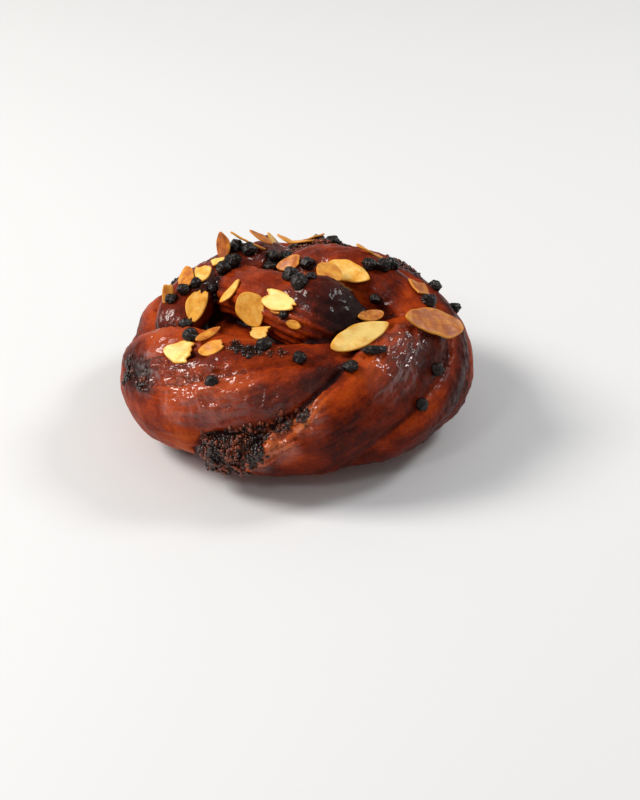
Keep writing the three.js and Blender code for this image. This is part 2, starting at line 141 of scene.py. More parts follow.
# how brown each turn baked from its tail to its tucked end, 0 pale amber to 1 nearly black:
# on the side that faces down, over the crown of the rope, and on the side that faces up
ropeBake = {
    "frontSweep": {"low": (0.42, 0.36, 0.36, 0.42, 0.46), "crown": (0.62, 0.68, 0.68, 0.64, 0.6),
                   "high": (0.72, 0.68, 0.55, 0.4, 0.5)},
    "raisedLip": {"low": (0.55, 0.5, 0.42, 0.38, 0.3), "crown": (0.42, 0.38, 0.33, 0.3, 0.26),
                  "high": (0.5, 0.44, 0.38, 0.34, 0.3)},
    "cocoaSeam": {"low": (0.8, 0.75, 0.6), "crown": (0.9, 0.85, 0.6), "high": (0.8, 0.7, 0.5)},
    "frontTrough": {"low": (0.35, 0.3, 0.4), "crown": (0.28, 0.3, 0.4), "high": (0.3, 0.35, 0.45)},
    "lowerLeftSweep": {"low": (0.52, 0.6, 0.68, 0.66, 0.66), "crown": (0.34, 0.4, 0.5, 0.64, 0.68),
                       "high": (0.34, 0.33, 0.33, 0.38, 0.4)},
    "upperLeftSweep": {"low": (0.6, 0.5, 0.42, 0.4, 0.42), "crown": (0.6, 0.44, 0.42, 0.42, 0.38),
                       "high": (0.7, 0.64, 0.6, 0.5, 0.4)},
    "leftLobe": {"low": (0.85, 0.6, 0.5), "crown": (0.8, 0.45, 0.4, 0.5), "high": (0.5, 0.35, 0.4)},
    "crownKnob": {"low": (0.55, 0.58, 0.6), "crown": (0.5, 0.5, 0.55, 0.8), "high": (0.5, 0.55, 0.75)},
    "rightRidge": {"low": (0.7, 0.7, 0.6), "crown": (0.56, 0.66, 0.6, 0.56), "high": (0.55, 0.35, 0.35)},
    "rearRidge": {"low": (0.5, 0.4, 0.4), "crown": (0.62, 0.66, 0.6), "high": (0.6, 0.6, 0.5)},
}
usualBake = {"low": (0.36, 0.34, 0.36, 0.45), "crown": (0.62, 0.72, 0.74, 0.7), "high": (0.5, 0.42, 0.5)}

# baked cocoa filling that broke out: x, y, z, reach, strength (dome millimetres)
cocoaSpots = [
    (-20, -53, 17, 7, 1), (-25, -51, 17, 5, 1), (-15, -53, 20, 6, 1), (-23, -51, 11, 5, 1),
    (-9, -51, 24, 4, 0.9), (-3, -52, 27, 3.5, 0.9), (3, -53, 31, 2.5, 0.7),
    (-54, -19, 27, 4, 0.8), (-47, -29, 28, 3, 0.7),
    (-22, -33, 43, 2.5, 0.6), (-17, -34, 43, 3, 0.8), (-12, -37, 45, 3, 0.8), (-5, -38, 45, 2.5, 0.6),
    (39, 31, 37, 4, 0.8), (35, 34, 39, 4, 0.8), (45, 24, 35, 3, 0.7),
    (2, 29, 45, 4, 0.8), (8, 34, 44, 4, 0.8), (14, 37, 43, 3, 0.6),
]

# places that baked darker (above 0) or stayed paler and redder (below 0), and two hollows darkened as
# painted shade: x, y, z, reach, change
bakeAndShadeSpots = [
    (-53, -20, 28, 8, 0.3), (-47, -28, 29, 6, 0.25), (-42, -34, 30, 5, 0.1),
    (13, -25, 54, 9, 0.12), (18, -23, 51, 8, 0.14), (14, -29, 50, 7, 0.1),
    (-3, -30, 52, 6, -0.12), (6, -30, 50, 5, -0.05),
    # the first two spots below are painted shade in the valley right of the crown knob
    (28, -5, 45, 6, 0.25), (31, -8, 44, 5, 0.2), (37, -9, 46, 6, -0.15),
    (-29, 1, 46, 5, 0.15), (-40, 21, 40, 8, -0.18), (-45, -8, 40, 9, 0.02),
    (-52, -12, 34, 9, 0.08), (-50, -28, 20, 12, 0.1),
    (2, -49, 38, 10, 0.05), (11, -43, 41, 8, 0.1), (-7, -51, 36, 6, 0.05),
    # the spot at -24, -5, 42 below is a faint painted shade in the hollow left of the crown knob
    (-24, -5, 42, 7, 0.02), (43, 27, 36, 8, 0.2), (5, 32, 45, 8, 0.2),
    (-12, -34, 42, 9, 0.05), (8, -36, 43, 8, 0.08), (-25, -35, 40, 8, 0.08),
    (-14, -55, 15, 6, -0.08), (-4, -57, 22, 6, -0.15), (5, -54, 30, 6, -0.2), (15, -49, 37, 6, -0.2),
    (21, -42, 41, 6, -0.15), (-49, 8, 38, 10, -0.2), (52, -10, 30, 13, 0.04), (49, -22, 28, 12, 0.08),
]

# glaze that dried into a wrinkled, sparkling skin: x, y, z, reach, strength
glazeSpots = [
    (-35, -43, 31, 7, 0.7), (-27, -47, 32, 7, 1), (-21, -48, 35, 8, 1), (-44, -28, 33, 7, 0.8),
    (-35, -37, 36, 6, 1), (-28, -41, 37, 6, 0.8), (32, -30, 43, 8, 1), (36, -24, 43, 6, 1),
    (30, -36, 41, 8, 0.9), (28, -42, 38, 6, 0.6), (-4, -57, 22, 5, 0.8), (-14, -55, 15, 6, 0.8),
    (5, -54, 30, 5, 0.7), (-7, -51, 36, 7, 0.4), (2, -49, 38, 7, 0.3), (-13, -50, 37, 6, 0.6),
    (-26, 8, 46, 9, 0.7), (-12, 2, 50, 8, 0.6), (-3, -24, 52, 7, 0.5), (-36, 8, 43, 8, 0.3),
    (-10, 22, 47, 9, 0.6), (8, 8, 52, 8, 0.5), (-38, -16, 40, 7, 0.6), (20, -8, 50, 7, 0.5),
]


def domePoint(bearing, climb):
    around = math.radians(bearing)
    up = math.radians(climb)
    height = doughDome["rise"] if climb >= 0 else doughDome["fall"]
    point = np.array([
        doughDome["halfWidth"] * math.cos(up) * math.cos(around),
        doughDome["halfDepth"] * math.cos(up) * math.sin(around),
        doughDome["level"] + height * math.sin(up),
    ])
    out = np.array([
        point[0] / doughDome["halfWidth"] ** 2,
        point[1] / doughDome["halfDepth"] ** 2,
        (point[2] - doughDome["level"]) / height ** 2,
    ])
    return point, out / np.linalg.norm(out)


def smoothLine(knots, count):
    # Catmull-Rom through the knots, with the ends mirrored
    knots = np.asarray(knots, float)
    padded = np.vstack([2 * knots[0] - knots[1], knots, 2 * knots[-1] - knots[-2]])
    place = np.linspace(0, len(knots) - 1, count)
    span = np.minimum(place.astype(int), len(knots) - 2)
    t = (place - span)[:, None]
    a, b, c, d = (padded[span + k] for k in range(4))
    return 0.5 * (2 * b + (c - a) * t + (2 * a - 5 * b + 4 * c - d) * t ** 2
                  + (3 * b - a - 3 * c + d) * t ** 3)


def unitRows(rows):
    return rows / np.linalg.norm(rows, axis=1, keepdims=True)


def layRope(knots, count):
    # the frame of every ring: middle, direction, across, outward, half sizes
    middles = []
    outs = []
    for bearing, climb, sink, *_ in knots:
        point, out = domePoint(bearing, climb)
        middles.append(point - sink * out)
        outs.append(out)
    middle = smoothLine(middles, count)
    outward = smoothLine(outs, count)
    size = smoothLine([knot[3:] for knot in knots], count)
    along = unitRows(np.gradient(middle, axis=0))
    outward = unitRows(outward - along * np.sum(outward * along, axis=1, keepdims=True))
    across = np.cross(along, outward)
    roll = np.radians(size[:, 2:3])
    return {
        "middle": middle, "along": along, "halfWidth": size[:, 0], "halfHeight": size[:, 1],
        "across": np.cos(roll) * across - np.sin(roll) * outward,
        "out": np.cos(roll) * outward + np.sin(roll) * across,
        "run": np.concatenate([[0], np.cumsum(np.linalg.norm(np.diff(middle, axis=0), axis=1))]),
    }


def ringPoints(rope, ring, sides, shift=0, scale=1):
    angle = np.linspace(0, 2 * math.pi, sides, endpoint=False)[:, None]
    centre = rope["middle"][ring] + shift * rope["along"][ring]
    return (centre + scale * rope["halfWidth"][ring] * np.cos(angle) * rope["across"][ring]
            + scale * rope["halfHeight"][ring] * np.sin(angle) * rope["out"][ring])


def ropeMesh(rope):
    # a closed tube with rounded ends
    sides = doughLook["sidesPerRing"]
    last = len(rope["middle"]) - 1
    caps = [math.pi * k / 8 for k in (1, 2, 3)]
    rings = []
    for ring, side in ((0, -1), (last, 1)):
        reach = 0.9 * min(rope["halfWidth"][ring], rope["halfHeight"][ring])
        ends = [ringPoints(rope, ring, sides, side * math.sin(a) * reach, math.cos(a)) for a in caps]
        tip = rope["middle"][ring] + side * reach * rope["along"][ring]
        rings.append((ends, tip))
    stack = rings[0][0][::-1]
    stack += [ringPoints(rope, ring, sides) for ring in range(last + 1)]
    stack += rings[1][0]
    points = np.vstack(stack + [rings[0][1][None], rings[1][1][None]])
    tips = (len(stack) * sides, len(stack) * sides + 1)
    faces = []
    for ring in range(len(stack) - 1):
        for side in range(sides):
            near = ring * sides
            after = (side + 1) % sides
            faces.append((near + side, near + sides + side, near + sides + after, near + after))
    final = (len(stack) - 1) * sides
    for side in range(sides):
        after = (side + 1) % sides
        faces.append((tips[0], side, after))
        faces.append((tips[1], final + after, final + side))
    return points, faces


def crumbMesh():
    shape = bmesh.new()
    bmesh.ops.create_uvsphere(shape, u_segments=72, v_segments=36, radius=1)
    points = np.array([v.co for v in shape.verts])
    faces = [tuple(v.index for v in face.verts) for face in shape.faces]
    shape.free()
    height = np.where(points[:, 2] >= 0, doughCrumb["rise"], doughCrumb["fall"])
    points *= np.stack([np.full(len(points), doughCrumb["halfWidth"]),
                        np.full(len(points), doughCrumb["halfDepth"]), height], axis=1)
    points[:, 2] += doughDome["level"]
    return points, faces


def meshFrom(name, points, faces):
    mesh = bpy.data.meshes.new(name)
    mesh.from_pydata(np.asarray(points).tolist(), [], faces)
    mesh.update()
    return mesh


def addPiece(name, mesh):
    piece = bpy.data.objects.new(name, mesh)
    bpy.context.scene.collection.objects.link(piece)
    return piece


def meshPoints(mesh, key="co"):
    values = np.empty(len(mesh.vertices) * 3)
    mesh.vertices.foreach_get(key, values)
    return values.reshape(-1, 3)


def setPoints(mesh, points):
    mesh.vertices.foreach_set("co", np.ascontiguousarray(points, dtype=float).ravel())
    mesh.update()


def smoothShade(mesh):
    mesh.polygons.foreach_set("use_smooth", [True] * len(mesh.polygons))


def meshEdges(mesh):
    edges = np.empty(len(mesh.edges) * 2, int)
    mesh.edges.foreach_get("vertices", edges)
    return edges.reshape(-1, 2)


def relax(values, edges, times, share=0.5):
    # every value drifts towards the mean of its neighbours
    values = np.array(values, float)
    flat = values.ndim == 1
    if flat:
        values = values[:, None]
    count = np.bincount(edges.ravel(), minlength=len(values)).clip(1)[:, None]
    for _ in range(times):
        total = np.zeros_like(values)
        for column in range(values.shape[1]):
            total[:, column] = (
                np.bincount(edges[:, 0], values[edges[:, 1], column], len(values))
                + np.bincount(edges[:, 1], values[edges[:, 0], column], len(values)))
        values += share * (total / count - values)
    return values[:, 0] if flat else values


def fuseDough(ropes):
    # all turns and the crumb become one even skin
    points = []
    faces = []
    start = 0
    for part, sides in [crumbMesh()] + [ropeMesh(rope) for rope in ropes.values()]:
        points.append(part)
        faces += [tuple(i + start for i in face) for face in sides]
        start += len(part)
    rough = addPiece("roughDough", meshFrom("roughDough", np.vstack(points), faces))
    skin = rough.modifiers.new("skin", "REMESH")
    skin.mode = "VOXEL"
    skin.voxel_size = doughLook["grainOfMesh"]
    graph = bpy.context.evaluated_depsgraph_get()
    mesh = bpy.data.meshes.new_from_object(rough.evaluated_get(graph))
    bpy.data.objects.remove(rough)
    mesh.name = "bun"
    edges = meshEdges(mesh)
    setPoints(mesh, relax(meshPoints(mesh), edges, doughLook["soften"]))
    return mesh, edges


def followRopes(points, ropes):
    # for every point: its turn, how far along, how far around, and the angle around
    names = list(ropes)
    sides = doughLook["samplesPerRing"]
    owner = []
    samples = []
    for number, name in enumerate(names):
        rope = ropes[name]
        for ring in range(len(rope["middle"])):
            samples.append(ringPoints(rope, ring, sides))
            owner += [(number, ring)] * sides
    samples = np.vstack(samples)
    owner = np.array(owner)
    tree = KDTree(len(samples))
    for index, sample in enumerate(samples):
        tree.insert(sample, index)
    tree.balance()
    nearest = np.array([tree.find(point)[1] for point in points])
    turn = owner[nearest, 0]
    ring = owner[nearest, 1]
    share = np.empty(len(points))
    run = np.empty(len(points))
    theta = np.empty(len(points))
    girth = np.empty(len(points))
    for number, name in enumerate(names):
        rope = ropes[name]
        mine = np.flatnonzero(turn == number)
        if not len(mine):
            continue
        at = ring[mine]
        offset = np.sum((points[mine] - rope["middle"][at]) * rope["along"][at], axis=1)
        step = rope["run"][-1] / (len(rope["run"]) - 1)
        beside = np.clip(at + np.where(offset > 0, 1, -1), 0, len(rope["run"]) - 1)
        blend = np.clip(np.abs(offset) / step, 0, 1)[:, None]

        def between(key):
            value = rope[key] if rope[key].ndim == 2 else rope[key][:, None]
            return (1 - blend) * value[at] + blend * value[beside]

        away = points[mine] - between("middle")
        run[mine] = rope["run"][at] + offset
        share[mine] = np.clip(run[mine] / rope["run"][-1], 0, 1)
        theta[mine] = np.arctan2(np.sum(away * between("out"), axis=1) / between("halfHeight")[:, 0],
                                 np.sum(away * between("across"), axis=1) / between("halfWidth")[:, 0])
        girth[mine] = 0.5 * (between("halfWidth") + between("halfHeight"))[:, 0]
    return {"turn": turn, "share": share, "run": run, "theta": theta, "girth": girth, "names": names}


def nearness(points, spot, edge):
    # 1 near the middle of a spot, 0 from edge times its reach
    x, y, z, reach = spot
    distance = np.linalg.norm(points - np.array([x, y, z]), axis=1)
    return np.clip(edge - distance / reach, 0, 1)


def spotField(points, spots):
    field = np.zeros(len(points))
    for *spot, strength in spots:
        field = np.maximum(field, strength * nearness(points, spot, 1.6))
    return field


def bakeField(trail):
    # browning from the tables, by turn, length and side
    brown = np.zeros(len(trail["run"]))
    degrees = np.degrees(trail["theta"])
    degrees = np.where(degrees < -90, degrees + 360, degrees)
    for number, name in enumerate(trail["names"]):
        mine = trail["turn"] == number
        table = ropeBake.get(name, usualBake)
        shades = []
        for side in ("low", "crown", "high"):
            values = table[side]
            shades.append(np.interp(trail["share"][mine], np.linspace(0, 1, len(values)), values))
        low, crown, high = shades
        angle = degrees[mine]
        toCrown = np.clip((angle - 10) / 45, 0, 1)
        toHigh = np.clip((angle - 115) / 45, 0, 1)
        side = low + (crown - low) * toCrown * toCrown * (3 - 2 * toCrown)
        brown[mine] = side + (high - side) * toHigh * toHigh * (3 - 2 * toHigh)
    return brown


def tintField(points):
    # the spots' shifts, painted shade in two hollows among them
    change = np.zeros(len(points))
    for *spot, amount in bakeAndShadeSpots:
        change += amount * nearness(points, spot, 1.5)
    return change


def noiseField(points, size, octaves=3, seed=0):
    shift = Vector((seed * 13.7, seed * 5.1, seed * 9.3))
    return np.array([noise.fractal(Vector(point) / size + shift, 0.8, 2.1, octaves)
                     for point in points])


def lumpField(points, size, seed=0):
    # round grains, 1 in the middle of each and 0 between them
    shift = Vector((seed * 7.7, seed * 3.3, seed * 5.9))
    near = np.array([noise.voronoi(Vector(point) / size + shift)[0][0] for point in points])
    return np.clip(1 - near * 1.4, 0, 1)


def addField(mesh, name, values):
    kind = "FLOAT" if values.ndim == 1 else "FLOAT_VECTOR"
    layer = mesh.attributes.new(name, kind, "POINT")
    key = "value" if values.ndim == 1 else "vector"
    layer.data.foreach_set(key, np.ascontiguousarray(values, dtype=np.float32).ravel())


def settle(points, edges):
    # the proved dough sags towards the tray and its foot is smoothed
    look = doughLook
    height = look["sagHeight"]
    low = points[:, 2] < height
    points[low, 2] = np.maximum(height - (height - points[low, 2]) * look["sag"], 0)
    share = np.clip((look["footHeight"] - points[:, 2]) / look["footFade"], 0, 1)[:, None]
    smooth = relax(points, edges, look["footSoftness"])
    smooth[:, 2] = np.maximum(np.minimum(smooth[:, 2], points[:, 2] + look["footLift"]), 0)
    return points + (smooth - points) * share


def hollowness(points, normals, edges, times):
    # how far each point lies below its smoothed surroundings
    return np.sum((relax(points, edges, times) - points) * normals, axis=1)


def shapeBun():
    look = doughLook
    ropes = {name: layRope(knots, look["ringsPerTurn"]) for name, knots in ropeTurns.items()}
    mesh, edges = fuseDough(ropes)
    print("dough fused,", len(mesh.vertices), "points")
    setPoints(mesh, settle(meshPoints(mesh), edges))
    points = meshPoints(mesh)
    normals = meshPoints(mesh, "normal")
    trail = followRopes(points, ropes)
    grain = np.stack([trail["run"], trail["theta"] * trail["girth"], trail["turn"] * 40.0], axis=1)
    seam = np.clip(hollowness(points, normals, edges, 30) / look["fullSeam"], 0, 1)
    # crack also darkens the cracks in the crust colour: partly painted shade in the creases, partly darker
    # baked crust
    crack = np.clip(hollowness(points, normals, edges, 8) / look["fullCrack"], 0, 1)
    crack = relax(crack, edges, 1)
    # where it browned, with painted shade in two hollows, where filling broke out and where the glaze
    # dried
    brown = relax(bakeField(trail), edges, 3) + tintField(points)
    footHeight = look["footBrownHeight"]
    brown += look["footBrown"] * np.clip((footHeight - points[:, 2]) / footHeight, 0, 1)
    mottle = noiseField(points, look["mottleSize"], 3, 1)
    cocoa = spotField(points, cocoaSpots)
    ragged = noiseField(points, look["raggedSize"], 3, 2)
    cocoa = np.clip(cocoa * 1.5 + 0.55 * ragged - 0.35, 0, 1) * (cocoa > 0)
    glaze = np.clip(spotField(points, glazeSpots) * (1 + 0.4 * ragged), 0, 1)
    blister = np.clip((brown - 0.55) / 0.3, 0, 1)
    # the relief of the crust
    degrees = np.degrees(trail["theta"])
    lowSide = np.clip((60 - np.abs(degrees - 5)) / 30, 0, 1)
    waver = noiseField(grain * np.array(look["waverGrain"]), 1, 2, 3)
    layers = np.sin(grain[:, 1] * look["layerRate"] + look["layerWaver"] * waver)
    swell = look["swell"] * noiseField(points, look["swellSize"], 2, 4)
    crease = noiseField(grain * np.array(look["wrinkleGrain"]), 1, 2, 5)
    skin = noiseField(points, look["blisterSize"], 3, 6)
    folds = noiseField(grain * np.array(look["foldGrain"]), 1, 2, 7)
    lumps = lumpField(points, look["lumpSize"], 1)
    height = (swell - look["crackDepth"] * crack
              + look["wrinkle"] * crease * (0.25 + glaze)
              + look["blister"] * skin * (0.12 + 0.8 * glaze + 0.6 * blister)
              + look["fold"] * folds * (0.2 + glaze + 0.5 * blister)
              + look["layerDepth"] * (layers - 0.6) * lowSide * (1 - cocoa)
              + look["crustDepth"] * cocoa * (lumps + 0.6 * ragged - 0.1))
    onLip = relax((trail["turn"] == trail["names"].index("raisedLip")).astype(float), edges, 4)
    height += onLip * (look["lipHeight"] + look["lipRoughness"] * skin)
    lift = np.clip(points[:, 2] / 3, 0, 1)  # the flat base stays flat
    points = points + normals * (height * lift)[:, None]
    points[:, 2] = np.maximum(points[:, 2], 0)
    setPoints(mesh, points)
    addField(mesh, "grain", grain)
    addField(mesh, "brown", np.clip(brown + 0.1 * mottle, 0, 1))
    addField(mesh, "seam", seam)
    addField(mesh, "crack", crack)
    addField(mesh, "cocoa", cocoa)
    addField(mesh, "glaze", np.clip(glaze + 0.2 * blister, 0, 1))
    addField(mesh, "layers", np.clip(0.5 + 0.5 * layers, 0, 1) * lowSide)
    smoothShade(mesh)
    return mesh


class Recipe:
    # a small helper that wires one material's nodes
    def __init__(self, name):
        self.material = bpy.data.materials.new(name)
        self.material.use_nodes = True
        self.tree = self.material.node_tree
        self.shader = self.tree.nodes["Principled BSDF"]

    def node(self, kind, inputs=None, **settings):
        node = self.tree.nodes.new(kind)
        for key, value in settings.items():
            setattr(node, key, value)
        for key, value in (inputs or {}).items():
            self.feed(node.inputs[key], value)
        return node

    def feed(self, socket, value):
        if isinstance(value, bpy.types.NodeSocket):
            self.tree.links.new(value, socket)
        else:
            socket.default_value = value

    def field(self, name, output="Fac"):
        return self.node("ShaderNodeAttribute", attribute_name=name).outputs[output]

    def math(self, kind, first, second=0.0):
        return self.node("ShaderNodeMath", {0: first, 1: second}, operation=kind).outputs[0]

    def sum(self, *values):
        total = values[0]
        for value in values[1:]:
            total = self.math("ADD", total, value)
        return total

    def scaled(self, vector, amounts):
        node = self.node("ShaderNodeVectorMath", {0: vector, 1: amounts}, operation="MULTIPLY")
        return node.outputs[0]

    def millimetres(self):
        return self.scaled(self.node("ShaderNodeTexCoord").outputs["Object"], (1000, 1000, 1000))

    def noise(self, vector, scale, detail=4.0, rough=0.5, warp=0.0):
        inputs = {"Vector": vector, "Scale": scale, "Detail": detail, "Roughness": rough,
                  "Distortion": warp}
        return self.node("ShaderNodeTexNoise", inputs).outputs["Fac"]

    def cells(self, vector, scale):
        return self.node("ShaderNodeTexVoronoi", {"Vector": vector, "Scale": scale}).outputs["Distance"]

    def ramp(self, value, stops):
        node = self.node("ShaderNodeValToRGB", {"Fac": value})
        line = node.color_ramp
        while len(line.elements) < len(stops):
            line.elements.new(0.5)
        for element, (place, colour) in zip(line.elements, stops):
            element.position = place
            element.color = (*colour, 1)
        return node.outputs["Color"]

    def mix(self, share, first, second):
        node = self.node("ShaderNodeMix", data_type="RGBA")
        self.feed(node.inputs[0], share)
        self.feed(node.inputs[6], first if isinstance(first, bpy.types.NodeSocket) else (*first, 1))
        self.feed(node.inputs[7], second if isinstance(second, bpy.types.NodeSocket) else (*second, 1))
        return node.outputs[2]

    def spread(self, value, low, high, toLow=0.0, toHigh=1.0):
        inputs = {"Value": value, "From Min": low, "From Max": high, "To Min": toLow, "To Max": toHigh}
        return self.node("ShaderNodeMapRange", inputs).outputs[0]

    def bump(self, height, distance, strength=1.0):
        inputs = {"Height": height, "Distance": distance, "Strength": strength}
        return self.node("ShaderNodeBump", inputs).outputs["Normal"]

    def set(self, **sockets):
        for name, value in sockets.items():
            self.feed(self.shader.inputs[name.replace("_", " ")], value)

    def coat(self, look, weight):
        self.set(Coat_Weight=weight, Coat_Roughness=look["coatRoughness"], Coat_IOR=look["coatIndex"],
                 Specular_IOR_Level=look["specular"])


crustFinish = {
    "pale": (0.56, 0.16, 0.02),
    "amber": (0.44, 0.072, 0.006),
    "orange": (0.38, 0.046, 0.004),
    "red": (0.18, 0.017, 0.003),
    "dark": (0.052, 0.006, 0.003),
    "burnt": (0.014, 0.003, 0.003),
    "filling": (0.022, 0.007, 0.004),
    # how far each pattern shifts the browning, least and most
    "fibreTone": (-0.03, 0.07),
    "mottleTone": (-0.08, 0.1),
    "freckleTone": (-0.05, 0.07),
    "dustTone": (0.0, 0.1),
    "seamTone": -0.06,
    "layerTone": -0.16,
    # the cracks between turns are darkened: partly painted shade in the creases, partly crust baked darker
    # there
    "crackShadeAndCrustTone": (0.0, 0.4),
    "roughness": (0.5, 0.38),
    "specular": 0.05,
    "coatWeight": (0.05, 1.0),
    "coatRoughness": 0.075,
    "coatIndex": 1.52,
    "relief": 0.0003,
}


def makeCrust():
    recipe = Recipe("glazedCrust")
    look = crustFinish
    place = recipe.millimetres()
    grain = recipe.field("grain", "Vector")
    cocoa = recipe.field("cocoa")
    glaze = recipe.field("glaze")
    fibre = recipe.noise(recipe.scaled(grain, (0.07, 0.7, 1.0)), 1.0, 5.0, 0.6, 0.3)
    mottle = recipe.noise(place, 0.15, 5.0, 0.6, 0.5)
    freckle = recipe.noise(place, 0.9, 5.0, 0.7)
    dust = recipe.noise(place, 1.5, 3.0, 0.6)
    tone = recipe.sum(
        recipe.field("brown"),
        recipe.spread(fibre, 0.3, 0.7, *look["fibreTone"]),
        recipe.spread(mottle, 0.3, 0.7, *look["mottleTone"]),
        recipe.spread(freckle, 0.3, 0.7, *look["freckleTone"]),
        recipe.spread(dust, 0.58, 0.68, *look["dustTone"]),
        recipe.math("MULTIPLY", recipe.field("seam"), look["seamTone"]),
        recipe.math("MULTIPLY", recipe.field("layers"), look["layerTone"]),
        # darker in the cracks: partly painted shade, partly darker baked crust
        recipe.spread(recipe.field("crack"), 0.3, 1.0, *look["crackShadeAndCrustTone"]))
    colour = recipe.ramp(tone, [(0.05, look["pale"]), (0.25, look["amber"]), (0.42, look["orange"]),
                                (0.6, look["red"]), (0.78, look["dark"]), (0.98, look["burnt"])])
    colour = recipe.mix(recipe.spread(cocoa, 0.25, 0.6), colour, look["filling"])
    crumbs = recipe.cells(place, 1.25)
    fine = recipe.noise(place, 2.2, 3.0, 0.6)
    creases = recipe.noise(recipe.scaled(grain, (0.22, 0.75, 1.0)), 1.0, 2.0, 0.5, 0.5)
    skin = recipe.noise(place, 0.75, 1.5, 0.5, 0.4)
    rough = recipe.math("MULTIPLY", recipe.sum(fine, recipe.math("MULTIPLY", crumbs, -1.2)), cocoa)
    rise = recipe.sum(
        recipe.math("MULTIPLY", creases, recipe.spread(glaze, 0, 1, 0.4, 1.2)),
        recipe.math("MULTIPLY", skin, recipe.spread(glaze, 0, 1, 0.3, 0.9)),
        recipe.math("MULTIPLY", rough, 1.6))
    varnish = recipe.bump(rise, look["relief"])
    surface = recipe.bump(recipe.sum(rise, recipe.math("MULTIPLY", fine, 0.5)), look["relief"])
    shine = recipe.spread(recipe.noise(place, 0.35, 3.0, 0.5), 0.35, 0.65, *look["roughness"])
    recipe.set(Base_Color=colour, Roughness=shine, Normal=surface, Coat_Normal=varnish)
    recipe.coat(look, recipe.spread(glaze, 0.1, 0.7, *look["coatWeight"]))
    return recipe.material


almondFinish = {
    "pale": (1.0, 0.70, 0.22),
    "gold": (0.86, 0.40, 0.05),
    "toast": (0.50, 0.13, 0.015),
    "skin": (0.17, 0.035, 0.008),
    "specular": 0.15,
    "coatWeight": 0.4,
    "coatRoughness": 0.18,
    "coatIndex": 1.35,
    "relief": 0.00008,
}


def makeAlmond():
    recipe = Recipe("toastedAlmond")
    look = almondFinish
    place = recipe.millimetres()
    rim = recipe.field("rim")
    toast = recipe.field("toast")
    spread = recipe.field("slice", "Vector")
    veins = recipe.noise(recipe.scaled(spread, (0.25, 1.6, 1.0)), 1.0, 4.0, 0.55)
    blotch = recipe.noise(place, 0.3, 4.0, 0.6)
    tone = recipe.sum(toast, recipe.spread(blotch, 0.3, 0.7, -0.2, 0.2),
                      recipe.spread(veins, 0.3, 0.7, -0.07, 0.07))
    nearRim = recipe.spread(rim, 0.8, 0.97, 0, 0.75)
    edge = recipe.math("MULTIPLY", recipe.math("SUBTRACT", 0.44, tone), nearRim)
    tone = recipe.sum(tone, edge)
    colour = recipe.ramp(tone, [(0.0, look["pale"]), (0.33, look["gold"]), (0.66, look["toast"]),
                                (1.0, look["skin"])])
    grit = recipe.noise(place, 2.4, 4.0, 0.6)
    surface = recipe.bump(recipe.sum(grit, veins), look["relief"])
    recipe.set(Base_Color=colour, Normal=surface, Coat_Normal=surface,
               Roughness=recipe.spread(blotch, 0.3, 0.7, 0.5, 0.36))
    recipe.coat(look, look["coatWeight"])
    return recipe.material


chocolateFinish = {
    "body": (0.005, 0.003, 0.003),
    "bloom": (0.016, 0.008, 0.006),
    "specular": 0.1,
    "coatWeight": 0.5,
    "coatRoughness": 0.14,
    "coatIndex": 1.4,
    "relief": 0.0002,
}


def makeChocolate():
    recipe = Recipe("bakedChocolate")
    look = chocolateFinish
    place = recipe.millimetres()
    grit = recipe.noise(place, 1.3, 5.0, 0.65)
    bloom = recipe.noise(place, 0.5, 3.0, 0.5)
    colour = recipe.mix(recipe.spread(bloom, 0.4, 0.7), look["body"], look["bloom"])
    surface = recipe.bump(grit, look["relief"])
    recipe.set(Base_Color=colour, Normal=surface, Coat_Normal=surface,
               Roughness=recipe.spread(grit, 0.3, 0.7, 0.34, 0.55))
    recipe.coat(look, look["coatWeight"])
    return recipe.material


crumbFinish = {
    "dark": (0.014, 0.004, 0.003),
    "brown": (0.24, 0.04, 0.008),
    "roughness": 0.4,
    "specular": 0.15,
    "coatWeight": 0.9,
    "coatRoughness": 0.12,
    "coatIndex": 1.4,
}


def makeCrumbs():
    recipe = Recipe("cocoaCrumb")
    look = crumbFinish
    place = recipe.millimetres()
    blend = recipe.noise(place, 0.55, 4.0, 0.7)
    patches = recipe.noise(place, 0.13, 2.0, 0.5)
    blend = recipe.sum(blend, recipe.spread(patches, 0.35, 0.65, -0.12, 0.12))
    colour = recipe.mix(recipe.spread(blend, 0.44, 0.64), look["dark"], look["brown"])
    recipe.set(Base_Color=colour, Roughness=look["roughness"])
    recipe.coat(look, look["coatWeight"])
    return recipe.material


# the look of each flake: how toasted, what is left of it from butt to point, its curl
flakeLooks = {
    1: (0.6, 0, 1, 0.3), 2: (0.22, 0.3, 1, 0.2), 3: (0.15, 0.35, 1, 0.2), 4: (0.3, 0.12, 0.86, 0.3),
    5: (0.24, 0, 1, 0.3), 6: (0.3, 0, 1, 0.5), 7: (0.2, 0.28, 0.9, 0.5), 8: (0.02, 0.16, 0.94, 0.8),
    9: (0.55, 0, 0.7, 0.3), 10: (0.08, 0.2, 1, 0.5), 11: (0.45, 0, 0.85, 0.3), 12: (0.52, 0, 1, 0.3),
    13: (0.03, 0, 1, 0.4), 14: (0.66, 0, 1, 0.5), 15: (0.58, 0, 1, 0.8), 16: (0.46, 0, 1, 0.3),
    17: (0.22, 0, 1, 0.5), 18: (0.6, 0.3, 0.72, 0.1), 19: (0.55, 0, 1, 0.3), 20: (0.62, 0.15, 1, 0.3),
    21: (0.78, 0, 1, 1.2), 22: (0.45, 0, 1, 0.5), 23: (0.62, 0, 1, 0.3), 24: (0.15, 0, 1, 0.3),
    25: (0.5, 0, 1, 0.3), 26: (0.5, 0, 1, 0.3), 27: (0.6, 0, 1, 0.3), 28: (0.5, 0, 1, 0.3),
}
